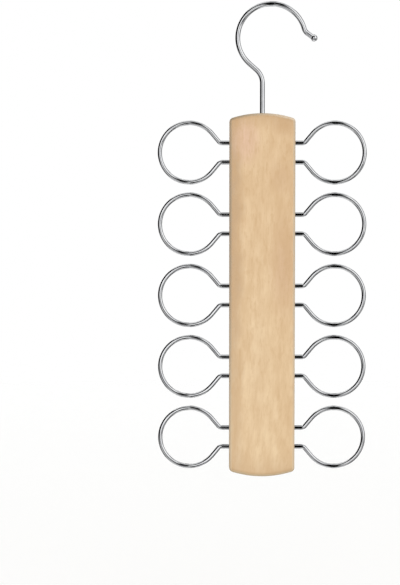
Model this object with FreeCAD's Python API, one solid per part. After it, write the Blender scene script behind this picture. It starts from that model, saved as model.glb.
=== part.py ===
# Wooden scarf hanger: a flat bar that carries two columns of bent wire rings and hangs from a swivel hook.
# The origin is the inside top of the hook's crook, where the closet rod bears.
# +X points to the open mouth of the hook, +Y to the back of the bar and +Z up. Sizes are in millimetres.
import FreeCAD, Part
import math
import os

# Ring wire and rings
ring_wire = 2.7
ring_inner_diameter = 33.3
ring_rows = 5
ring_gap = 4.9  # clear space between one ring and the next below it
ring_neck_gap = 9.0  # clear space between the two legs of a ring
ring_neck_bend = 2.5  # centre-line radius where a leg turns into the straight shoulder of the ring
ring_neck_turn = 50.0  # angle of that turn, after which the shoulder runs on into the ring
ring_leg_exposed = 4.6  # straight leg that shows outside the bar

# Leg holes in the two long sides of the bar
leg_hole_clearance = 0.05  # glue line round a leg
leg_hole_end_gap = 1.0  # air between the end of a leg and the bottom of its hole
leg_hole_ease = 0.3  # countersunk mouth of the hole
bar_core = 12.0  # solid wood left between facing holes

# Swivel: hook shank, socket, washer and headed end in a blind bore in the top of the bar
hook_wire = 3.1
swivel_running_clearance = 0.08
swivel_thrust_gap = 0.05
socket_wall = 1.35
socket_barb_height = 0.3
socket_barbs = 4
socket_length = 10.0
socket_recess = 0.2  # the socket's top lies this far below the top of the bar
socket_bore_clearance = 0.02
socket_mouth_ease = 0.3
washer_thickness = 0.6
washer_side_clearance = 0.4
head_overhang = 1.0  # how far the headed end stands out from the shank
head_rim = 0.6
head_dome = 1.0
swivel_end_gap = 1.2
drill_point_angle = 118.0

# Bar
bar_width = 40.0
bar_wall = 2.7  # wood in front of the swivel bore, and behind it
bar_end_margin = 23.7  # from the middle of an end to the nearest ring's centre
bar_end_radius = 61.0
bar_edge_radius = 2.0
bar_corner_extra = 0.6  # the corners of the outline are rounder than its edges

# Hook
crook_inner_diameter = 37.9
crook_offset = 5.5  # from the shank's axis to the crook's centre
crook_end_angle = 15.7  # where the crook stops, above the horizontal through its centre
shank_exposed = 18.2  # straight shank above the bar
shank_bend = 11.0  # centre-line radius of the bend above the shank
neck_lean = 48.5  # lean of the straight neck between that bend and the crook
tip_bend = 5.0  # centre-line radius of the outward bend at the tip
tip_angle = 35.0  # slope of the tip below the horizontal
tip_length = 5.1  # from the end of that bend to the centre of the ball
tip_ball_diameter = 4.2

# Sizes that follow from those above
ring_radius = (ring_inner_diameter + ring_wire) / 2
ring_pitch = ring_inner_diameter + 2 * ring_wire + ring_gap
leg_height = (ring_neck_gap + ring_wire) / 2
ring_neck_slope = math.radians(ring_neck_turn)
ring_neck_trim = ring_neck_bend * math.tan(ring_neck_slope / 2)
ring_shoulder = (ring_radius * math.cos(ring_neck_slope) - leg_height) / math.sin(ring_neck_slope)
ring_neck_run = ring_shoulder * math.cos(ring_neck_slope) + ring_radius * math.sin(ring_neck_slope)
ring_reach = ring_leg_exposed + ring_neck_trim + ring_neck_run  # from the bar's side to a ring's centre
leg_hole_depth = (bar_width - bar_core) / 2
leg_hole_radius = ring_wire / 2 + leg_hole_clearance

shank_radius = hook_wire / 2
socket_bore_radius = shank_radius + swivel_running_clearance
socket_radius = socket_bore_radius + socket_wall
swivel_bore_radius = socket_radius + socket_barb_height + socket_bore_clearance
bar_thickness = 2 * (swivel_bore_radius + bar_wall)
bar_length = 2 * bar_end_margin + (ring_rows - 1) * ring_pitch

crook_inner_radius = crook_inner_diameter / 2
crook_radius = crook_inner_radius + shank_radius
crook_centre_z = -crook_inner_radius
axis_x = -crook_offset
neck_slope = math.radians(neck_lean)
neck_length = (crook_radius * math.cos(neck_slope) - crook_offset) / math.sin(neck_slope)
neck_foot_z = crook_centre_z - crook_radius * math.sin(neck_slope) - neck_length * math.cos(neck_slope)
shank_bend_trim = shank_bend * math.tan(neck_slope / 2)

bar_top_z = neck_foot_z - shank_bend_trim - shank_exposed
bar_middle_z = bar_top_z - bar_length / 2
socket_top_z = bar_top_z - socket_recess
socket_bottom_z = socket_top_z - socket_length
washer_top_z = socket_bottom_z - swivel_thrust_gap
head_top_z = washer_top_z - washer_thickness
head_bottom_z = head_top_z - head_rim - head_dome
swivel_bore_bottom_z = head_bottom_z - swivel_end_gap

UP = FreeCAD.Vector(0, 0, 1)
SAME_LENGTH = 1e-6


def in_plane(x, z):
    """A point of the hanger's middle plane."""
    return FreeCAD.Vector(x, 0, z)


def on_circle(centre, radius, angle):
    """The point of a circle in the middle plane at an angle in degrees, from +X towards +Z."""
    turn = math.radians(angle)
    return centre + in_plane(radius * math.cos(turn), radius * math.sin(turn))


def line(start, end):
    return Part.LineSegment(start, end).toShape()


def arc(centre, radius, start_angle, end_angle):
    ends_and_middle = [start_angle, (start_angle + end_angle) / 2, end_angle]
    return Part.Arc(*[on_circle(centre, radius, angle) for angle in ends_and_middle]).toShape()


def round_wire(edges, diameter):
    """A solid round wire along tangent lines and arcs, which starts square to the first of them."""
    path = Part.Wire(edges)
    first = edges[0]
    start = first.Vertexes[0].Point
    section = Part.makeCircle(diameter / 2, start, first.tangentAt(first.FirstParameter))
    return path.makePipeShell([Part.Wire(section)], True, False)


def turned(profile):
    """A solid of revolution about the swivel axis, from (radius, height) corners."""
    corners = [in_plane(axis_x + radius, z) for radius, z in profile]
    face = Part.Face(Part.makePolygon(corners + corners[:1]))
    return face.revolve(in_plane(axis_x, 0), UP, 360)


def make_ring(side, row):
    """One omega-shaped ring; side is 1 on the right of the bar and -1 on the left, and row 0 is the top one."""
    centre = in_plane(ring_reach, 0)
    leg_end = leg_hole_end_gap - leg_hole_depth
    upper_bend = in_plane(ring_leg_exposed, leg_height + ring_neck_bend)
    lower_bend = in_plane(ring_leg_exposed, -leg_height - ring_neck_bend)
    bend_end = 90 - ring_neck_turn
    ring_end = 90 + ring_neck_turn
    edges = [
        line(in_plane(leg_end, leg_height), in_plane(ring_leg_exposed, leg_height)),
        arc(upper_bend, ring_neck_bend, -90, -bend_end),
        line(on_circle(upper_bend, ring_neck_bend, -bend_end), on_circle(centre, ring_radius, ring_end)),
        arc(centre, ring_radius, ring_end, 0),
        arc(centre, ring_radius, 0, -ring_end),
        line(on_circle(centre, ring_radius, -ring_end), on_circle(lower_bend, ring_neck_bend, bend_end)),
        arc(lower_bend, ring_neck_bend, bend_end, 90),
        line(in_plane(ring_leg_exposed, -leg_height), in_plane(leg_end, -leg_height)),
    ]
    ring = round_wire(edges, ring_wire)
    ring.translate(in_plane(bar_width / 2, 0))
    if side < 0:
        ring.rotate(FreeCAD.Vector(), UP, 180)
    ring.translate(in_plane(axis_x, row_height(row)))
    return ring


def row_height(row):
    return bar_top_z - bar_end_margin - row * ring_pitch


def bar_outline():
    """The bar's front outline: straight sides and convex ends."""
    half_width = bar_width / 2
    end_rise = bar_end_radius - math.sqrt(bar_end_radius ** 2 - half_width ** 2)
    apex = bar_length / 2
    shoulder = apex - end_rise
    right_top = in_plane(half_width, shoulder)
    left_top = in_plane(-half_width, shoulder)
    left_bottom = in_plane(-half_width, -shoulder)
    right_bottom = in_plane(half_width, -shoulder)
    return Part.Wire([
        Part.Arc(right_top, in_plane(0, apex), left_top).toShape(),
        line(left_top, left_bottom),
        Part.Arc(left_bottom, in_plane(0, -apex), right_bottom).toShape(),
        line(right_bottom, right_top),
    ])


def make_leg_hole(side, height):
    """The drill and countersink for one leg, in from one long side of the bar."""
    inward = FreeCAD.Vector(-side, 0, 0)
    mouth = in_plane(axis_x + side * bar_width / 2, height)
    hole = Part.makeCylinder(leg_hole_radius, leg_hole_depth, mouth, inward)
    ease = Part.makeCone(leg_hole_radius + leg_hole_ease, leg_hole_radius, leg_hole_ease, mouth, inward)
    return hole.fuse(ease)


def make_swivel_bore():
    """The blind bore from the top of the bar, with the cone that its drill leaves."""
    point_depth = swivel_bore_radius / math.tan(math.radians(drill_point_angle / 2))
    return turned([
        (0, bar_top_z),
        (swivel_bore_radius, bar_top_z),
        (swivel_bore_radius, swivel_bore_bottom_z),
        (0, swivel_bore_bottom_z - point_depth),
    ])


def make_bar():
    blank = Part.Face(bar_outline()).extrude(FreeCAD.Vector(0, bar_thickness, 0))
    blank.translate(FreeCAD.Vector(axis_x, -bar_thickness / 2, bar_middle_z))
    corners = [edge for edge in blank.Edges if abs(edge.BoundBox.YLength - bar_thickness) < SAME_LENGTH]
    blank = blank.makeFillet(bar_edge_radius + bar_corner_extra, corners)
    rims = [edge for edge in blank.Edges if edge.BoundBox.YLength < SAME_LENGTH]
    bar = blank.makeFillet(bar_edge_radius, rims)
    holes = [make_swivel_bore()]
    for side in (-1, 1):
        for row in range(ring_rows):
            for leg in (-leg_height, leg_height):
                holes.append(make_leg_hole(side, row_height(row) + leg))
    return bar.cut(holes)


def make_socket():
    """The pressed-in sleeve that the shank turns in, with saw-tooth barbs that bite the wood."""
    barb_pitch = socket_length / (socket_barbs + 1)
    barb_radius = socket_radius + socket_barb_height
    profile = [
        (socket_bore_radius, socket_bottom_z),
        (socket_radius, socket_bottom_z),
    ]
    for barb in range(socket_barbs):
        crest_z = socket_bottom_z + (barb + 1) * barb_pitch
        profile += [(barb_radius, crest_z), (socket_radius, crest_z)]
    profile += [
        (barb_radius, socket_top_z),
        (socket_bore_radius + socket_mouth_ease, socket_top_z),
        (socket_bore_radius, socket_top_z - socket_mouth_ease),
    ]
    return turned(profile)


def make_washer():
    washer_radius = swivel_bore_radius - washer_side_clearance
    return turned([
        (socket_bore_radius, head_top_z),
        (washer_radius, head_top_z),
        (washer_radius, washer_top_z),
        (socket_bore_radius, washer_top_z),
    ])


def make_head():
    """The upset end of the shank: a flat-topped rim with a domed underside."""
    head_radius = shank_radius + head_overhang
    dome_radius = (head_radius ** 2 + head_dome ** 2) / (2 * head_dome)
    dome_turn = math.asin(head_radius / dome_radius)
    rim_z = head_top_z - head_rim
    dome_centre = in_plane(axis_x, head_bottom_z + dome_radius)
    outer = in_plane(axis_x + head_radius, rim_z)
    half_angle = -90 + math.degrees(dome_turn) / 2
    outline = Part.Wire([
        line(in_plane(axis_x, head_top_z), in_plane(axis_x + head_radius, head_top_z)),
        line(in_plane(axis_x + head_radius, head_top_z), outer),
        Part.Arc(outer, on_circle(dome_centre, dome_radius, half_angle), in_plane(axis_x, head_bottom_z)).toShape(),
        line(in_plane(axis_x, head_bottom_z), in_plane(axis_x, head_top_z)),
    ])
    return Part.Face(outline).revolve(in_plane(axis_x, 0), UP, 360)


def make_hook():
    """Shank, neck, crook and ball tip bent from one wire, with the shank's end upset into a head."""
    crook_centre = in_plane(0, crook_centre_z)
    bend_start = in_plane(axis_x, neck_foot_z - shank_bend_trim)
    bend_centre = bend_start - in_plane(shank_bend, 0)
    bend_end = on_circle(bend_centre, shank_bend, neck_lean)
    crook_start_angle = 180 + neck_lean
    crook_start = on_circle(crook_centre, crook_radius, crook_start_angle)
    tip_centre = on_circle(crook_centre, crook_radius + tip_bend, crook_end_angle)
    tip_start = on_circle(tip_centre, tip_bend, -90 - tip_angle)
    slope = math.radians(tip_angle)
    ball_centre = tip_start + in_plane(tip_length * math.cos(slope), -tip_length * math.sin(slope))
    crook_middle_angle = (crook_start_angle + crook_end_angle) / 2
    edges = [
        line(in_plane(axis_x, head_top_z), bend_start),
        arc(bend_centre, shank_bend, 0, neck_lean),
        line(bend_end, crook_start),
        arc(crook_centre, crook_radius, crook_start_angle, crook_middle_angle),
        arc(crook_centre, crook_radius, crook_middle_angle, crook_end_angle),
        arc(tip_centre, tip_bend, 180 + crook_end_angle, 270 - tip_angle),
        line(tip_start, ball_centre),
    ]
    wire = round_wire(edges, hook_wire)
    ball = Part.makeSphere(tip_ball_diameter / 2, ball_centre)
    return wire.fuse([ball, make_head()]).removeSplitter()


def main():
    parts = {
        "wooden_bar": make_bar(),
        "swivel_hook": make_hook(),
        "hook_socket": make_socket(),
        "thrust_washer": make_washer(),
    }
    for side, side_name in ((-1, "left"), (1, "right")):
        for row in range(ring_rows):
            parts[f"ring_{side_name}_{row + 1}"] = make_ring(side, row)
    os.makedirs("parts", exist_ok=True)
    for name, shape in parts.items():
        shape.exportStep(f"parts/{name}.step")
        print(f"{name}: {shape.ShapeType}, {len(shape.Solids)} solid, {shape.Volume:.1f} mm3")


main()
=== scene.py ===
# The scarf hanger's looks: wood, chrome and steel finishes, studio light, floor and camera.
# Lengths are in metres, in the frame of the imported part: origin at the rod's seat in the hook, +X to the
# hook's mouth, +Y to the back and +Z up. Values whose names end in _MM are in millimetres, and angles are
# in degrees. A value with low and high is a smooth step, from at_low, or 0, at low to at_high, or 1, at
# high.
import math

import bmesh
import bpy
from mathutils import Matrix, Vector


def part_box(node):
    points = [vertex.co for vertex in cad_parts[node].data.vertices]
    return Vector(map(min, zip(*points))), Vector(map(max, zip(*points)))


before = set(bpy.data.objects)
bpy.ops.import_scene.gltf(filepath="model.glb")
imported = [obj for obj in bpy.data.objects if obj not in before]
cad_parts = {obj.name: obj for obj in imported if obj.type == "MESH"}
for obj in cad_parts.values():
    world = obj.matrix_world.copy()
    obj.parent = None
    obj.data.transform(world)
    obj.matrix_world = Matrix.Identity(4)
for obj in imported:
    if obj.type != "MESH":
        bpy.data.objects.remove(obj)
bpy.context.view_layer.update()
bar_low, bar_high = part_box("wooden_bar")
socket_low, socket_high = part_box("hook_socket")
bar_centre = (bar_low + bar_high) / 2
socket_centre = (socket_low + socket_high) / 2

MM = 0.001
PER_METRE_MM = 1000
BAR_HALF_WIDTH_MM = (bar_high.x - bar_low.x) / 2 * PER_METRE_MM
BAR_HALF_LENGTH_MM = (bar_high.z - bar_low.z) / 2 * PER_METRE_MM
BAR_END_RADIUS_MM = 61


def srgb(red, green, blue):
    """A linear colour from 0 to 255 screen values."""
    def linear(value):
        share = value / 255
        return share / 12.92 if share <= 0.04045 else ((share + 0.055) / 1.055) ** 2.4
    return (linear(red), linear(green), linear(blue), 1.0)


def grey(value):
    return (value, value, value, 1.0)


# Camera. The image is the photograph's, and the bar's middle falls on the same pixel in both.
IMAGE_WIDTH = 400
IMAGE_HEIGHT = 585
MM_PER_PIXEL = 0.6121
BAR_MIDDLE_PIXEL = (261.9, 295.5)
CAMERA_DISTANCE = 1.0
CAMERA_ELEVATION = 3.5
CAMERA_NEAR = 0.01
SENSOR_SIZE_MM = 36

# Studio. A white tent lights the wood and the floor, most from the front and the back. Bright metal
# mirrors a dark room over a dim ground instead, with soft boxes and two tall dark cards, one in front and
# one behind.
TENT_STRENGTH = 0.503
TENT_FRONT_AND_BACK = 1.128
TENT_TILT = (0.2, -0.05, 0.12)
GROUND = {"low": -0.45, "high": -0.05, "at_low": 0.14, "at_high": 0.0}

# Each soft box has its angle round the view's axis, from the right through the top, its angle away from
# the camera, its half width and its strength. A later box covers an earlier one.
SOFT_BOXES = {
    "top": {"round": 88, "away": 105, "reach": 38, "strength": 0.82},
    "below": {"round": 264, "away": 98, "reach": 36, "strength": 0.8},
    "low_side": {"round": 335, "away": 85, "reach": 18, "strength": 0.55},
    "right": {"round": 24, "away": 52, "reach": 32, "strength": 1.15},
    "left": {"round": 146, "away": 18, "reach": 17, "strength": 1.25},
    "left_low": {"round": 224, "away": 38, "reach": 16, "strength": 0.72},
    "camera_low": {"round": 304, "away": 22, "reach": 13, "strength": 1.1},
    "back": {"round": 150, "away": 160, "reach": 18, "strength": 1.3},
    "back_left": {"round": 205, "away": 142, "reach": 16, "strength": 0.65},
    "back_right": {"round": 22, "away": 144, "reach": 24, "strength": 0.95},
    "back_low": {"round": 300, "away": 156, "reach": 14, "strength": 1.1},
}
SOFT_BOX_EDGE = 4

# The dark cards cover directions by their part across, from the cards' middle, and by their depth part
DARK_CARD_MIDDLE = 0.068
DARK_CARD_ACROSS = {"low": 0.052, "high": 0.076, "at_low": 1.0, "at_high": 0.0}
DARK_CARD_DEPTH = {"low": 0.3, "high": 0.5}

# Floor, far enough below the bar to stay clear of it
FLOOR_DROP = 0.11
FLOOR_RADIUS = 2.2
FLOOR_SIDES = 128
FLOOR_FADE_START_MM = 350
FLOOR_FADE_END_SHARE = 0.9
FLOOR_TONE = srgb(250, 250, 249)
FLOOR_ROUGHNESS = 0.8
FLOOR_GLOW = 0.17

# Wood. Its x runs across the bar to the right, y to the back and z upwards, from the bar's centre.
WOOD_TOP_TONE = srgb(231, 200, 159)
WOOD_BOTTOM_TONE = srgb(240, 212, 171)
WOOD_LEFT_TONE = srgb(198, 167, 132)
# Painted shade at the bar's two ends
WOOD_END_SHADE_TONE = srgb(203, 170, 131)
WOOD_LATE_TONE = srgb(206, 168, 122)
WOOD_PORE_TONE = srgb(158, 117, 78)
# A painted shade line just inside the rims of the curved ends
WOOD_END_SHADE_LINE_TONE = srgb(178, 143, 101)
WOOD_END_GRAIN_TONE = srgb(172, 131, 88)
# Rounded edges: greyish wear of the lacquer with painted light and shade, a painted highlight at the top's
# right, and painted shade at the top's left, the upper sides and the bottom
WOOD_EDGE_LIGHT_AND_WEAR_TONES = {
    "left_high": srgb(189, 170, 144),
    "left_low": srgb(232, 210, 178),
    "right_high": srgb(202, 187, 163),
    "right_low": srgb(216, 196, 166),
    "top_left": srgb(152, 139, 115),
    "top_right": srgb(231, 214, 189),
    "bottom": srgb(206, 187, 153),
}

# Slow changes of colour: dimmer zones left and right whose borders wander, soft oval patches, and painted
# shade that dims the ends by the distance from the end
ZONE_WANDER_MM = 12.0
LEFT_ZONE_MM = {"low": -17.0, "high": -9.0, "at_low": 1.0, "at_high": 0.0}
LEFT_ZONE_LOWER_SHARE = 0.4
LEFT_ZONE_UPPER_SHARE = 0.95
LEFT_ZONE_FULL_HEIGHT = 0.6
RIGHT_ZONE_MM = {"low": 5.0, "high": 17.0, "at_high": 0.22}
WOOD_PATCHES_MM = {
    "rosy": {"middle": (-10, 95), "half": (11, 20), "tone": srgb(235, 198, 173), "share": 0.85},
    "dim_high": {"middle": (11, 72), "half": (10, 15), "tone": srgb(212, 177, 139), "share": 0.5},
    "dim_low": {"middle": (13, 18), "half": (12, 44), "tone": srgb(211, 173, 138), "share": 0.6},
    "dim_corner": {"middle": (13, 104), "half": (12, 10), "tone": srgb(205, 168, 127), "share": 0.62},
    "pale": {"middle": (-3, -40), "half": (11, 55), "tone": srgb(241, 214, 175), "share": 0.5},
}
PATCH_FADE = {"low": 0.1, "high": 1.0, "at_low": 1.0, "at_high": 0.0}
TOP_END_MM = {"low": 1.0, "high": 11.0, "at_low": 0.6, "at_high": 0.0}
BOTTOM_END_MM = {"low": 1.0, "high": 18.0, "at_low": 0.5, "at_high": 0.0}

# Layers of the grain: the noise of each per millimetre, and how far it turns the wood to a darker tone
WOOD_NOISE = {
    "wander": {"scale": (0.04, 0.04, 0.05), "detail": 3},
    "sway": {"scale": (0.05, 0.05, 0.011), "detail": 2},
    "cloud": {"scale": (0.16, 0.16, 0.07), "detail": 3},
    "fleck": {"scale": (0.75, 0.75, 0.19), "detail": 2, "roughness": 0.6},
    "slant": {"scale": (0.5, 0.5, 0.08), "detail": 3, "roughness": 0.6},
    "streak": {"scale": (0.32, 0.32, 0.022), "detail": 3, "roughness": 0.55},
    "fibre": {"scale": (3.2, 3.2, 0.07), "detail": 3, "roughness": 0.6},
    "pore": {"scale": (6.5, 6.5, 0.35), "detail": 1},
    "end_pore": {"scale": (2.4, 2.4, 0.05), "detail": 2, "roughness": 0.7},
}
NOISE_MIDDLE = 0.5
WOOD_SHADE = {
    "cloud": {"low": 0.36, "high": 0.68, "at_low": 0.34, "at_high": 0.0},
    "fleck": {"low": 0.48, "high": 0.72},
    "slant": {"low": 0.38, "high": 0.72, "at_high": 0.17},
    "streak": {"low": 0.45, "high": 0.75, "at_high": 0.16},
    "fibre": {"low": 0.45, "high": 0.75, "at_high": 0.26},
    "pore": {"low": 0.66, "high": 0.76},
    "end_pore": {"low": 0.5, "high": 0.72, "at_low": 0.02, "at_high": 0.4},
}
FLECK_LOWER_SHARE = 0.24
FLECK_UPPER_SHARE = 0.44
SLANT_PER_MM = 0.0007
PORE_SHARE = 0.25

# Growth rings round a pith behind the bar, which leans along it. Late wood rises slowly over each ring's
# width and ends sharply.
RING_PITH_X_MM = 5.0
RING_PITH_Y_MM = 34.0
RING_LEAN = 0.035
RING_SPACING_MM = 3.6
RING_SWAY_MM = 5.0
RING_RISE = {"low": 0.25, "high": 0.85}
RING_FALL = {"low": 0.88, "high": 0.99, "at_low": 1.0, "at_high": 0.0}
RING_FACE_SHARE = 0.12
RING_END_SHARE = 0.3

# Ends and rounded edges, told from the faces by the upward part and the depth part of the normal
END_FACE = {"low": 0.45, "high": 0.9}
# A painted shade line just inside the rims of the curved ends
END_LINE_RISE_MM = {"low": 0.5, "high": 1.2}
END_LINE_FALL_MM = {"low": 1.2, "high": 3.4, "at_low": 1.0, "at_high": 0.0}
END_LINE_LOWER_SHARE = 0.4
END_LINE_UPPER_SHARE = 0.22
# Rounded edges: greyish wear with painted light and shade, in flecks
EDGE_FROM_SIDE = {"low": 0.02, "high": 0.12}
EDGE_TO_FACE = {"low": 0.9, "high": 0.995, "at_low": 0.7, "at_high": 0.0}
EDGE_FLECKS = {"low": 0.38, "high": 0.68, "at_low": 1.1, "at_high": 0.6}
EDGE_FULL_HEIGHT = 0.4
EDGE_TOP = {"low": 0.1, "high": 0.5}
EDGE_BOTTOM = {"low": -0.5, "high": -0.1, "at_low": 1.0, "at_high": 0.0}

WOOD_ROUGHNESS = {"low": 0.25, "high": 0.75, "at_low": 0.42, "at_high": 0.52}
WOOD_PORE_ROUGHNESS = 0.15
WOOD_SPECULAR = 0.35
WOOD_FIBRE_HEIGHT = 0.5
WOOD_PORE_HEIGHT = -1.0
WOOD_BUMP_MM = 0.03

# Chrome plate with a slight haze, specks and scuffs
CHROME_TONE = srgb(233, 234, 235)
CHROME_HAZE_TONE = srgb(216, 217, 220)
CHROME_SPECK_TONE = srgb(158, 156, 152)
CHROME_HAZE_NOISE = {"scale": (0.16, 0.16, 0.16), "detail": 3}
CHROME_SPECK_NOISE = {"scale": (2.6, 2.6, 2.6), "detail": 2}
CHROME_SCUFF_NOISE = {"scale": (0.9, 9.0, 0.9), "detail": 2, "distortion": 0.6}
CHROME_HAZE = {"low": 0.35, "high": 0.7}
CHROME_SPECKS = {"low": 0.66, "high": 0.76, "at_high": 0.35}
CHROME_HAZE_ROUGHNESS = {"low": 0.3, "high": 0.72, "at_low": 0.02, "at_high": 0.06}
CHROME_SCUFF_ROUGHNESS = {"low": 0.6, "high": 0.74, "at_high": 0.06}
CHROME_BUMP_MM = 0.002

# Steel with the fine rings of a lathe tool and some tarnish
STEEL_TONE = srgb(188, 190, 194)
STEEL_TARNISH_TONE = srgb(150, 149, 146)
STEEL_CUT_NOISE = {"scale": (9.0, 9.0, 9.0), "detail": 3}
STEEL_TARNISH_NOISE = {"scale": (0.6, 0.6, 0.6), "detail": 3}
STEEL_TARNISH = {"low": 0.35, "high": 0.7}
STEEL_ROUGHNESS = {"low": 0.3, "high": 0.7, "at_low": 0.22, "at_high": 0.42}
STEEL_BUMP_MM = 0.02


# Node helpers

class Nodes:
    """Short calls that add nodes to one node tree and link them."""

    def __init__(self, tree):
        self.tree = tree

    def feed(self, socket, value):
        """Links an output to a socket, or sets the socket to a plain value."""
        if isinstance(value, bpy.types.NodeSocket):
            self.tree.links.new(value, socket)
        else:
            socket.default_value = value

    def add(self, kind, values, **settings):
        """Adds a node, feeds its inputs by name or number and gives its outputs."""
        made = self.tree.nodes.new(kind)
        for name, value in settings.items():
            setattr(made, name, value)
        for name, value in values.items():
            self.feed(made.inputs[name], value)
        return made.outputs

    def math(self, operation, first, second=0.0):
        return self.add("ShaderNodeMath", {0: first, 1: second}, operation=operation)[0]

    def product(self, first, second):
        return self.math("MULTIPLY", first, second)

    def vector_math(self, operation, first, second):
        return self.add("ShaderNodeVectorMath", {0: first, 1: second}, operation=operation)["Vector"]

    def dot(self, first, second):
        return self.add("ShaderNodeVectorMath", {0: first, 1: second}, operation="DOT_PRODUCT")["Value"]

    def vector_of(self, x, y, z):
        return self.add("ShaderNodeCombineXYZ", {0: x, 1: y, 2: z})[0]

    def parts_of(self, vector):
        return self.add("ShaderNodeSeparateXYZ", {0: vector})

    def length(self, vector):
        return self.add("ShaderNodeVectorMath", {0: vector}, operation="LENGTH")["Value"]

    def ramp(self, value, low, high, at_low=0.0, at_high=1.0):
        """A smooth step from one value to another."""
        values = {"Value": value, "From Min": low, "From Max": high, "To Min": at_low, "To Max": at_high}
        return self.add("ShaderNodeMapRange", values, interpolation_type="SMOOTHSTEP")["Result"]

    def mixed(self, factor, first, second):
        """One colour turned towards another. Inputs 6 and 7 and output 2 are the node's colours."""
        return self.add("ShaderNodeMix", {0: factor, 6: first, 7: second}, data_type="RGBA")[2]

    def noise(self, vector, scale, detail, roughness=0.5, distortion=0.0):
        """Noise whose fineness along x, y and z is the scale."""
        scaled = self.add("ShaderNodeMapping", {"Vector": vector, "Scale": scale})["Vector"]
        values = {"Vector": scaled, "Scale": 1.0, "Detail": detail}
        values.update({"Roughness": roughness, "Distortion": distortion})
        return self.add("ShaderNodeTexNoise", values)["Fac"]


class Surface(Nodes):
    """A material with one Principled shader. Its place, with parts x, y and z, is in millimetres from a
    point of the part, in a frame that rides with the piece."""

    def __init__(self, name, centre):
        self.material = bpy.data.materials.new(name)
        self.material.use_nodes = True
        super().__init__(self.material.node_tree)
        self.principled = self.tree.nodes["Principled BSDF"]
        coordinates = self.add("ShaderNodeTexCoord", {})
        self.normal = coordinates["Normal"]
        from_centre = self.vector_math("SUBTRACT", coordinates["Object"], tuple(centre))
        self.place = self.vector_math("MULTIPLY", from_centre, (PER_METRE_MM,) * 3)
        self.x, self.y, self.z = self.parts_of(self.place)

    def set(self, **values):
        for name, value in values.items():
            self.feed(self.principled.inputs[name.replace("_", " ")], value)

    def bump(self, height, depth_mm):
        values = {"Height": height, "Distance": depth_mm * MM}
        self.set(Normal=self.add("ShaderNodeBump", values)["Normal"])


# Wood

def wood_noise(wood, name):
    return wood.noise(wood.place, **WOOD_NOISE[name])


def swing(wood, name, width_mm):
    """Noise as millimetres to either side."""
    return wood.product(wood.math("SUBTRACT", wood_noise(wood, name), NOISE_MIDDLE), width_mm)


def up_the_bar(wood, at_bottom, at_top, full_height=1.0):
    """Goes from one value at the bar's bottom to another at a share of its half length above the middle."""
    return wood.ramp(wood.z, -BAR_HALF_LENGTH_MM, BAR_HALF_LENGTH_MM * full_height, at_bottom, at_top)


def wood_patch(wood, middle, half):
    """A soft oval patch: 1 in the middle and 0 outside."""
    x = wood.math("DIVIDE", wood.math("SUBTRACT", wood.x, middle[0]), half[0])
    z = wood.math("DIVIDE", wood.math("SUBTRACT", wood.z, middle[1]), half[1])
    return wood.ramp(wood.length(wood.vector_of(x, 0.0, z)), **PATCH_FADE)


def growth_rings(wood):
    """1 in the late wood of the growth rings."""
    swayed = wood.math("ADD", wood.x, swing(wood, "sway", RING_SWAY_MM))
    x = wood.math("SUBTRACT", swayed, RING_PITH_X_MM)
    y = wood.math("SUBTRACT", wood.y, RING_PITH_Y_MM)
    radius = wood.length(wood.vector_of(x, y, 0.0))
    leaned = wood.math("ADD", radius, wood.product(wood.z, RING_LEAN))
    turn = wood.math("FRACT", wood.math("DIVIDE", leaned, RING_SPACING_MM))
    return wood.product(wood.ramp(turn, **RING_RISE), wood.ramp(turn, **RING_FALL))


def slanting_grain(wood):
    """Fine streaks that run upright at the top of the bar and lean more and more towards its bottom."""
    from_top = wood.math("SUBTRACT", BAR_HALF_LENGTH_MM, wood.z)
    aside = wood.product(wood.product(from_top, from_top), SLANT_PER_MM)
    straight = wood.vector_of(wood.math("ADD", wood.x, aside), wood.y, wood.z)
    return wood.noise(straight, **WOOD_NOISE["slant"])


def wood_tone(wood):
    """The slow changes of colour over the bar, and painted shade at its two ends."""
    colour = wood.mixed(up_the_bar(wood, 0.0, 1.0), WOOD_BOTTOM_TONE, WOOD_TOP_TONE)
    across = wood.math("ADD", wood.x, swing(wood, "wander", ZONE_WANDER_MM))
    left_height = up_the_bar(wood, LEFT_ZONE_LOWER_SHARE, LEFT_ZONE_UPPER_SHARE, LEFT_ZONE_FULL_HEIGHT)
    left_share = wood.product(wood.ramp(across, **LEFT_ZONE_MM), left_height)
    colour = wood.mixed(left_share, colour, WOOD_LEFT_TONE)
    colour = wood.mixed(wood.ramp(across, **RIGHT_ZONE_MM), colour, WOOD_LATE_TONE)
    for patch in WOOD_PATCHES_MM.values():
        share = wood.product(wood_patch(wood, patch["middle"], patch["half"]), patch["share"])
        colour = wood.mixed(share, colour, patch["tone"])
    # Painted shade: the bar darker towards both ends
    top_end = wood.ramp(wood.math("SUBTRACT", BAR_HALF_LENGTH_MM, wood.z), **TOP_END_MM)
    bottom_end = wood.ramp(wood.math("ADD", wood.z, BAR_HALF_LENGTH_MM), **BOTTOM_END_MM)
    return wood.mixed(wood.math("ADD", top_end, bottom_end), colour, WOOD_END_SHADE_TONE)


def end_shade_line(wood):
    """Painted shade: a darker line just inside the rims of the two curved ends."""
    end_centre = BAR_HALF_LENGTH_MM - BAR_END_RADIUS_MM
    past_centre = wood.math("SUBTRACT", wood.math("ABSOLUTE", wood.z), end_centre)
    radius = wood.length(wood.vector_of(wood.x, 0.0, past_centre))
    inside = wood.math("SUBTRACT", BAR_END_RADIUS_MM, radius)
    line = wood.product(wood.ramp(inside, **END_LINE_RISE_MM), wood.ramp(inside, **END_LINE_FALL_MM))
    return wood.product(line, up_the_bar(wood, END_LINE_LOWER_SHARE, END_LINE_UPPER_SHARE))


def rounding(wood, depth):
    """Strongest on the rounded edges and 0 on the flat faces."""
    flat = wood.math("ABSOLUTE", depth)
    return wood.product(wood.ramp(flat, **EDGE_FROM_SIDE), wood.ramp(flat, **EDGE_TO_FACE))


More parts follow.
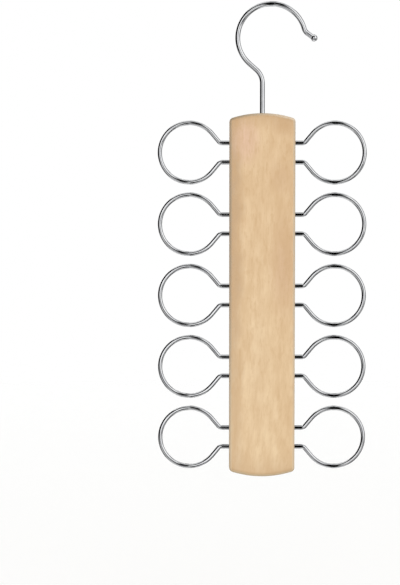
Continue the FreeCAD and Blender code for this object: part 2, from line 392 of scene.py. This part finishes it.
def edge_light_and_wear_tone(wood, upward):
    """Rounded edges: greyish wear of the lacquer with painted light and shade, paler towards the bottom and
    the right, and dimmest at the top's left.
    """
    rightward = wood.ramp(wood.x, -BAR_HALF_WIDTH_MM, BAR_HALF_WIDTH_MM)
    high = up_the_bar(wood, 0.0, 1.0, EDGE_FULL_HEIGHT)
    left_tone = wood.mixed(high, WOOD_EDGE_LIGHT_AND_WEAR_TONES["left_low"], WOOD_EDGE_LIGHT_AND_WEAR_TONES["left_high"])
    right_tone = wood.mixed(high, WOOD_EDGE_LIGHT_AND_WEAR_TONES["right_low"], WOOD_EDGE_LIGHT_AND_WEAR_TONES["right_high"])
    side_tone = wood.mixed(rightward, left_tone, right_tone)
    top_tone = wood.mixed(rightward, WOOD_EDGE_LIGHT_AND_WEAR_TONES["top_left"], WOOD_EDGE_LIGHT_AND_WEAR_TONES["top_right"])
    tone = wood.mixed(wood.ramp(upward, **EDGE_TOP), side_tone, top_tone)
    return wood.mixed(wood.ramp(upward, **EDGE_BOTTOM), tone, WOOD_EDGE_LIGHT_AND_WEAR_TONES["bottom"])


def make_wood():
    wood = Surface("pale_hardwood", bar_centre)
    rings = growth_rings(wood)
    fleck = wood_noise(wood, "fleck")
    streak = wood_noise(wood, "streak")
    fibre = wood_noise(wood, "fibre")
    pores = wood.ramp(wood_noise(wood, "pore"), **WOOD_SHADE["pore"])

    fleck_share = up_the_bar(wood, FLECK_LOWER_SHARE, FLECK_UPPER_SHARE)
    late_shares = [
        wood.ramp(wood_noise(wood, "cloud"), **WOOD_SHADE["cloud"]),
        wood.product(wood.ramp(fleck, **WOOD_SHADE["fleck"]), fleck_share),
        wood.ramp(slanting_grain(wood), **WOOD_SHADE["slant"]),
        wood.ramp(streak, **WOOD_SHADE["streak"]),
        wood.product(rings, RING_FACE_SHARE),
        wood.ramp(fibre, **WOOD_SHADE["fibre"]),
    ]
    colour = wood_tone(wood)
    for share in late_shares:
        colour = wood.mixed(share, colour, WOOD_LATE_TONE)
    colour = wood.mixed(wood.product(pores, PORE_SHARE), colour, WOOD_PORE_TONE)

    depth, upward = wood.parts_of(wood.normal)[1:]
    end_face = wood.ramp(wood.math("ABSOLUTE", upward), **END_FACE)
    end_pores = wood.ramp(wood_noise(wood, "end_pore"), **WOOD_SHADE["end_pore"])
    end_grain = wood.math("ADD", wood.product(rings, RING_END_SHARE), end_pores)
    colour = wood.mixed(wood.product(end_face, end_grain), colour, WOOD_END_GRAIN_TONE)
    # Painted shade: a darker line just inside the end rims
    colour = wood.mixed(end_shade_line(wood), colour, WOOD_END_SHADE_LINE_TONE)
    # Rounded edges turn, in flecks, to greyish wear with painted light and shade
    edge_wear_and_light = wood.product(rounding(wood, depth), wood.ramp(fleck, **EDGE_FLECKS))
    colour = wood.mixed(edge_wear_and_light, colour, edge_light_and_wear_tone(wood, upward))

    sheen = wood.ramp(streak, **WOOD_ROUGHNESS)
    roughness = wood.math("ADD", sheen, wood.product(pores, WOOD_PORE_ROUGHNESS))
    wood.set(Base_Color=colour, Roughness=roughness, Specular_IOR_Level=WOOD_SPECULAR)
    height = wood.math("ADD", wood.product(fibre, WOOD_FIBRE_HEIGHT), wood.product(pores, WOOD_PORE_HEIGHT))
    wood.bump(height, WOOD_BUMP_MM)
    return wood.material


# Metal

def make_chrome():
    chrome = Surface("chrome_plate", (0, 0, 0))
    haze = chrome.noise(chrome.place, **CHROME_HAZE_NOISE)
    speck = chrome.noise(chrome.place, **CHROME_SPECK_NOISE)
    scuff = chrome.noise(chrome.place, **CHROME_SCUFF_NOISE)
    tone = chrome.mixed(chrome.ramp(haze, **CHROME_HAZE), CHROME_TONE, CHROME_HAZE_TONE)
    tone = chrome.mixed(chrome.ramp(speck, **CHROME_SPECKS), tone, CHROME_SPECK_TONE)
    smooth = chrome.ramp(haze, **CHROME_HAZE_ROUGHNESS)
    roughness = chrome.math("ADD", smooth, chrome.ramp(scuff, **CHROME_SCUFF_ROUGHNESS))
    chrome.set(Base_Color=tone, Metallic=1.0, Roughness=roughness)
    chrome.bump(chrome.math("ADD", scuff, speck), CHROME_BUMP_MM)
    return chrome.material


def make_steel():
    steel = Surface("turned_steel", socket_centre)
    radius = steel.length(steel.vector_of(steel.x, steel.y, 0.0))
    cut = steel.noise(steel.vector_of(radius, 0.0, steel.z), **STEEL_CUT_NOISE)
    tarnish = steel.noise(steel.place, **STEEL_TARNISH_NOISE)
    tone = steel.mixed(steel.ramp(tarnish, **STEEL_TARNISH), STEEL_TONE, STEEL_TARNISH_TONE)
    steel.set(Base_Color=tone, Metallic=1.0, Roughness=steel.ramp(cut, **STEEL_ROUGHNESS))
    steel.bump(cut, STEEL_BUMP_MM)
    return steel.material


def dress(nodes, material):
    for node in nodes:
        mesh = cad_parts[node].data
        mesh.materials.clear()
        mesh.materials.append(material)


# Stage

def soft_box_share(nodes, direction, box):
    """1 inside a soft box and 0 outside."""
    turn = math.radians(box["round"])
    away = math.radians(box["away"])
    middle = (math.sin(away) * math.cos(turn), -math.cos(away), math.sin(away) * math.sin(turn))
    inner = math.cos(math.radians(box["reach"] - SOFT_BOX_EDGE))
    outer = math.cos(math.radians(box["reach"] + SOFT_BOX_EDGE))
    return nodes.ramp(nodes.dot(direction, middle), outer, inner)


def make_room(nodes, direction):
    """What bright metal mirrors: soft boxes and dark cards in a dark room."""
    across, depth, upward = nodes.parts_of(direction)
    ground = nodes.ramp(upward, **GROUND)
    colour = nodes.vector_of(ground, ground, ground)
    for box in SOFT_BOXES.values():
        colour = nodes.mixed(soft_box_share(nodes, direction, box), colour, grey(box["strength"]))
    from_middle = nodes.math("ABSOLUTE", nodes.math("SUBTRACT", across, DARK_CARD_MIDDLE))
    card_width = nodes.ramp(from_middle, **DARK_CARD_ACROSS)
    card_height = nodes.ramp(nodes.math("ABSOLUTE", depth), **DARK_CARD_DEPTH)
    return nodes.mixed(nodes.product(card_width, card_height), colour, grey(0.0))


def make_world():
    """Plain white for the camera, the room for mirrored light and a white tent for the rest."""
    world = bpy.data.worlds.new("studio")
    bpy.context.scene.world = world
    world.use_nodes = True
    nodes = Nodes(world.node_tree)
    direction = nodes.add("ShaderNodeTexCoord", {})["Generated"]
    depth = nodes.parts_of(direction)[1]
    front_and_back = nodes.product(nodes.product(depth, depth), TENT_FRONT_AND_BACK)
    tilted = nodes.math("ADD", nodes.dot(direction, TENT_TILT), front_and_back)
    tent = nodes.math("ADD", tilted, TENT_STRENGTH)
    rays = nodes.add("ShaderNodeLightPath", {})
    colour = nodes.mixed(rays["Is Glossy Ray"], tent, make_room(nodes, direction))
    colour = nodes.mixed(rays["Is Camera Ray"], colour, grey(1.0))
    nodes.feed(world.node_tree.nodes["Background"].inputs["Color"], colour)


def make_floor():
    """A pale floor that fades out with distance, so that no edge shows. It sends no light to the object."""
    mesh = bpy.data.meshes.new("floor")
    shape = bmesh.new()
    bmesh.ops.create_circle(shape, cap_ends=True, segments=FLOOR_SIDES, radius=FLOOR_RADIUS)
    shape.to_mesh(mesh)
    shape.free()
    floor = bpy.data.objects.new("floor", mesh)
    floor.location = (bar_centre.x, bar_centre.y, bar_low.z - FLOOR_DROP)
    bpy.context.scene.collection.objects.link(floor)
    surface = Surface("pale_floor", (0, 0, 0))
    fade_end = FLOOR_RADIUS * PER_METRE_MM * FLOOR_FADE_END_SHARE
    fade = surface.ramp(surface.length(surface.place), FLOOR_FADE_START_MM, fade_end, 1.0, 0.0)
    surface.set(Base_Color=FLOOR_TONE, Roughness=FLOOR_ROUGHNESS, Alpha=fade)
    surface.set(Emission_Color=FLOOR_TONE, Emission_Strength=FLOOR_GLOW)
    mesh.materials.append(surface.material)
    floor.visible_glossy = False
    floor.visible_diffuse = False


def make_camera():
    data = bpy.data.cameras.new("photo_camera")
    camera = bpy.data.objects.new("photo_camera", data)
    bpy.context.scene.collection.objects.link(camera)
    scale = MM_PER_PIXEL * MM
    aim = Vector((
        bar_centre.x + (IMAGE_WIDTH / 2 - BAR_MIDDLE_PIXEL[0]) * scale,
        bar_centre.y,
        bar_centre.z + (BAR_MIDDLE_PIXEL[1] - IMAGE_HEIGHT / 2) * scale,
    ))
    tilt = math.radians(CAMERA_ELEVATION)
    back = Vector((0, -math.cos(tilt), math.sin(tilt)))
    camera.location = aim + back * CAMERA_DISTANCE
    camera.rotation_mode = "QUATERNION"
    camera.rotation_quaternion = (-back).to_track_quat("-Z", "Y")
    data.sensor_width = SENSOR_SIZE_MM
    data.lens = SENSOR_SIZE_MM * CAMERA_DISTANCE / (IMAGE_HEIGHT * scale)
    data.clip_start = CAMERA_NEAR
    bpy.context.scene.camera = camera


ring_nodes = [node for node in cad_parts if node.startswith("ring_")]
dress(["wooden_bar"], make_wood())
dress(ring_nodes + ["swivel_hook"], make_chrome())
dress(["hook_socket", "thrust_washer"], make_steel())
# The metal mirrors the studio alone, not the wood
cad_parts["wooden_bar"].visible_glossy = False
make_world()
make_floor()
make_camera()
bpy.context.scene.view_settings.view_transform = "Standard"
